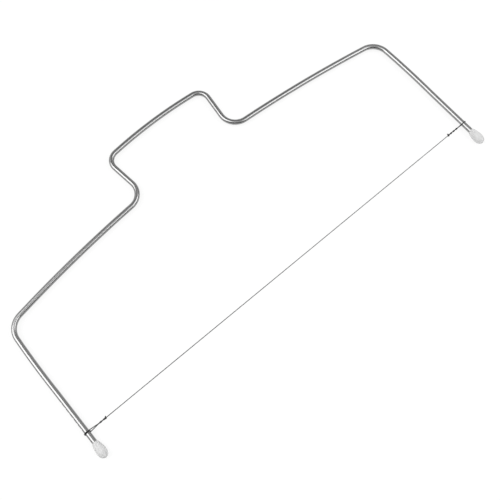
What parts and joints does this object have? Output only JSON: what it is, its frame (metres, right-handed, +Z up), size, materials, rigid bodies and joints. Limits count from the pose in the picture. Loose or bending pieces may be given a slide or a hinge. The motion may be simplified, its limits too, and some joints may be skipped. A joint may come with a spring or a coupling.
{
  "type": "cake leveler",
  "caption": "Wire cake leveler: a bent steel rod frame with a hump for a handle, soft feet and a taut cutting wire that moves up a row of notches.",
  "frame": {"origin": "on the surface that the leveler lies on, below the middle of the frame", "axes": "+X across the frame from the left leg to the right leg, +Y from the feet towards the handle, +Z up, square to the frame's plane"},
  "size_m": [0.3168, 0.1556, 0.0065],
  "materials": {
    "steel_rod": "bright drawn and polished",
    "steel_wire": "bright drawn",
    "soft_plastic": "milky, softly glossy"
  },
  "bodies": {
    "frame": {"frame_rod": "steel_rod", "left_foot": "soft_plastic", "right_foot": "soft_plastic"},
    "wire": {"cutting_wire": "steel_wire"}
  },
  "joints": [
    {"name": "wire_slide", "type": "slide", "parent": "frame", "child": "wire", "axis": [0, 1, 0], "range_m": [0, 0.024]}
  ]
}
